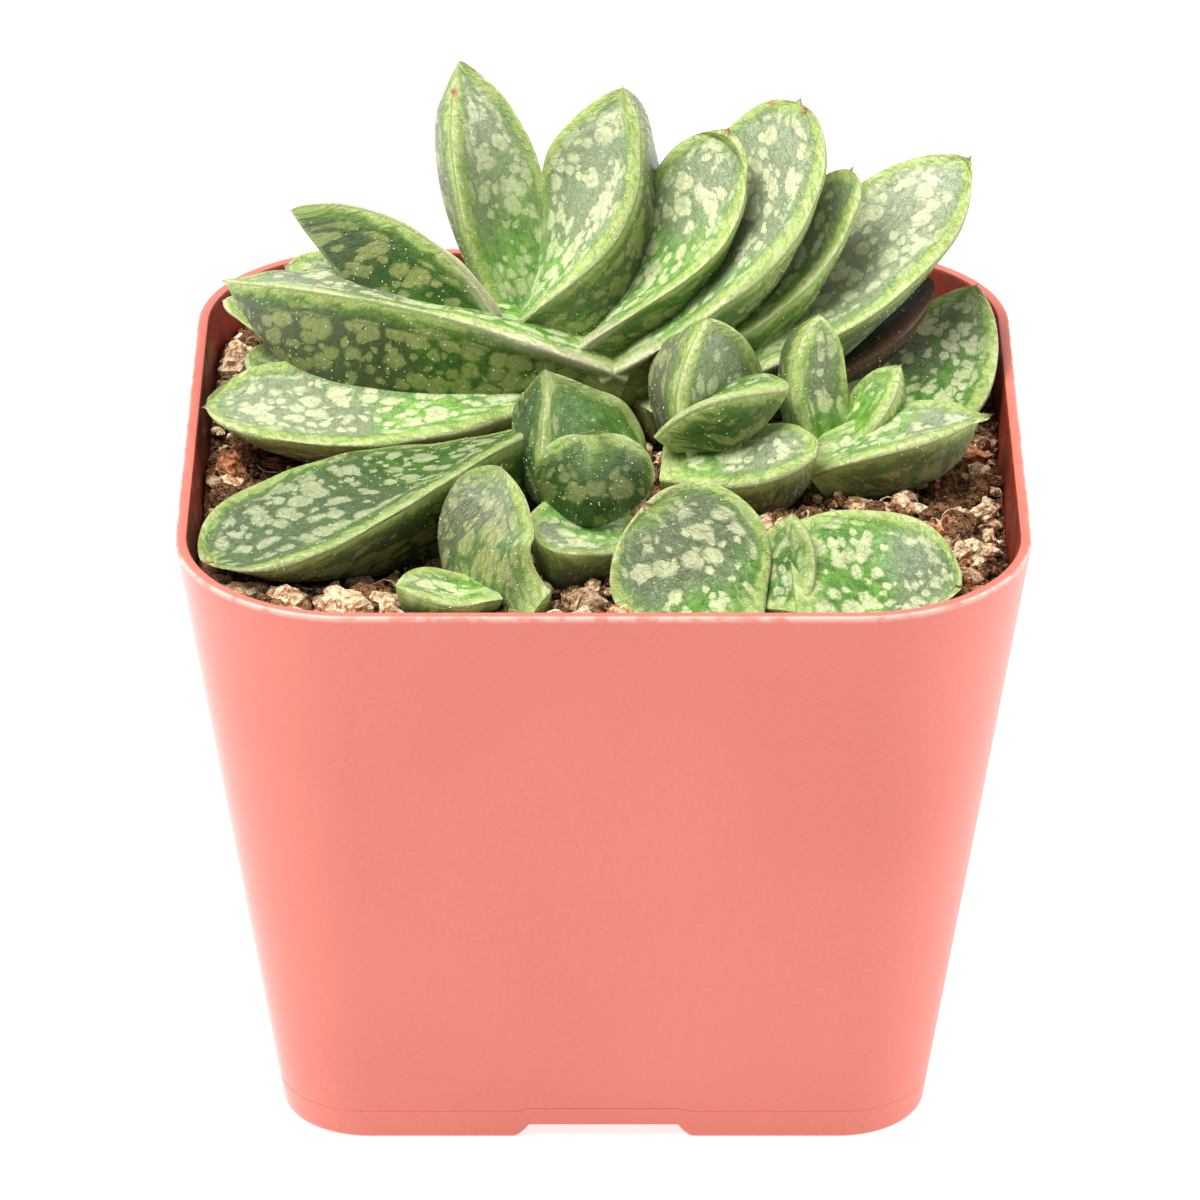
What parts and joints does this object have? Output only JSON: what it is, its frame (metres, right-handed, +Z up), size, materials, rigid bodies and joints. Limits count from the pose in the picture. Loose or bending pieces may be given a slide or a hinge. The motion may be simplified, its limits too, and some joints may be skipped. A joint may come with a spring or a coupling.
{
  "type": "potted gasteria plant",
  "caption": "Small succulent with thick, keeled, spotted leaves in opposite fans and offsets at its foot, growing in a tapered square plastic pot.",
  "frame": {"origin": "middle of the pot's footprint on the surface that it stands on", "axes": "+Z up, -Y toward the front where the lowest offsets grow, +X to the right as seen from the front"},
  "size_m": [0.057, 0.057, 0.0651],
  "materials": {
    "pot": "satin",
    "soil": "matte",
    "stem": "matte",
    "leaf": "satin"
  },
  "bodies": {
    "root": {"pot": "pot", "soil": "soil", "rosette_stem": "stem", "rosette_leaf_01": "leaf", "rosette_leaf_02": "leaf", "rosette_leaf_03": "leaf", "rosette_leaf_04": "leaf", "rosette_leaf_05": "leaf", "rosette_leaf_06": "leaf", "rosette_leaf_07": "leaf", "rosette_leaf_08": "leaf", "rosette_leaf_09": "leaf", "rosette_leaf_10": "leaf", "rosette_leaf_11": "leaf", "rosette_leaf_12": "leaf", "rosette_leaf_13": "leaf", "rosette_leaf_14": "leaf", "middle_offset_stem": "stem", "middle_offset_leaf_01": "leaf", "middle_offset_leaf_02": "leaf", "middle_offset_leaf_03": "leaf", "front_left_offset_stem": "stem", "front_left_offset_leaf_01": "leaf", "front_left_offset_leaf_02": "leaf", "front_right_offset_stem": "stem", "front_right_offset_leaf_01": "leaf", "front_right_offset_leaf_02": "leaf", "front_right_offset_leaf_03": "leaf", "inner_right_offset_stem": "stem", "inner_right_offset_leaf_01": "leaf", "inner_right_offset_leaf_02": "leaf", "inner_right_offset_leaf_03": "leaf", "outer_right_offset_stem": "stem", "outer_right_offset_leaf_01": "leaf", "outer_right_offset_leaf_02": "leaf", "outer_right_offset_leaf_03": "leaf", "outer_right_offset_leaf_04": "leaf", "outer_right_offset_leaf_05": "leaf"}
  },
  "joints": []
}
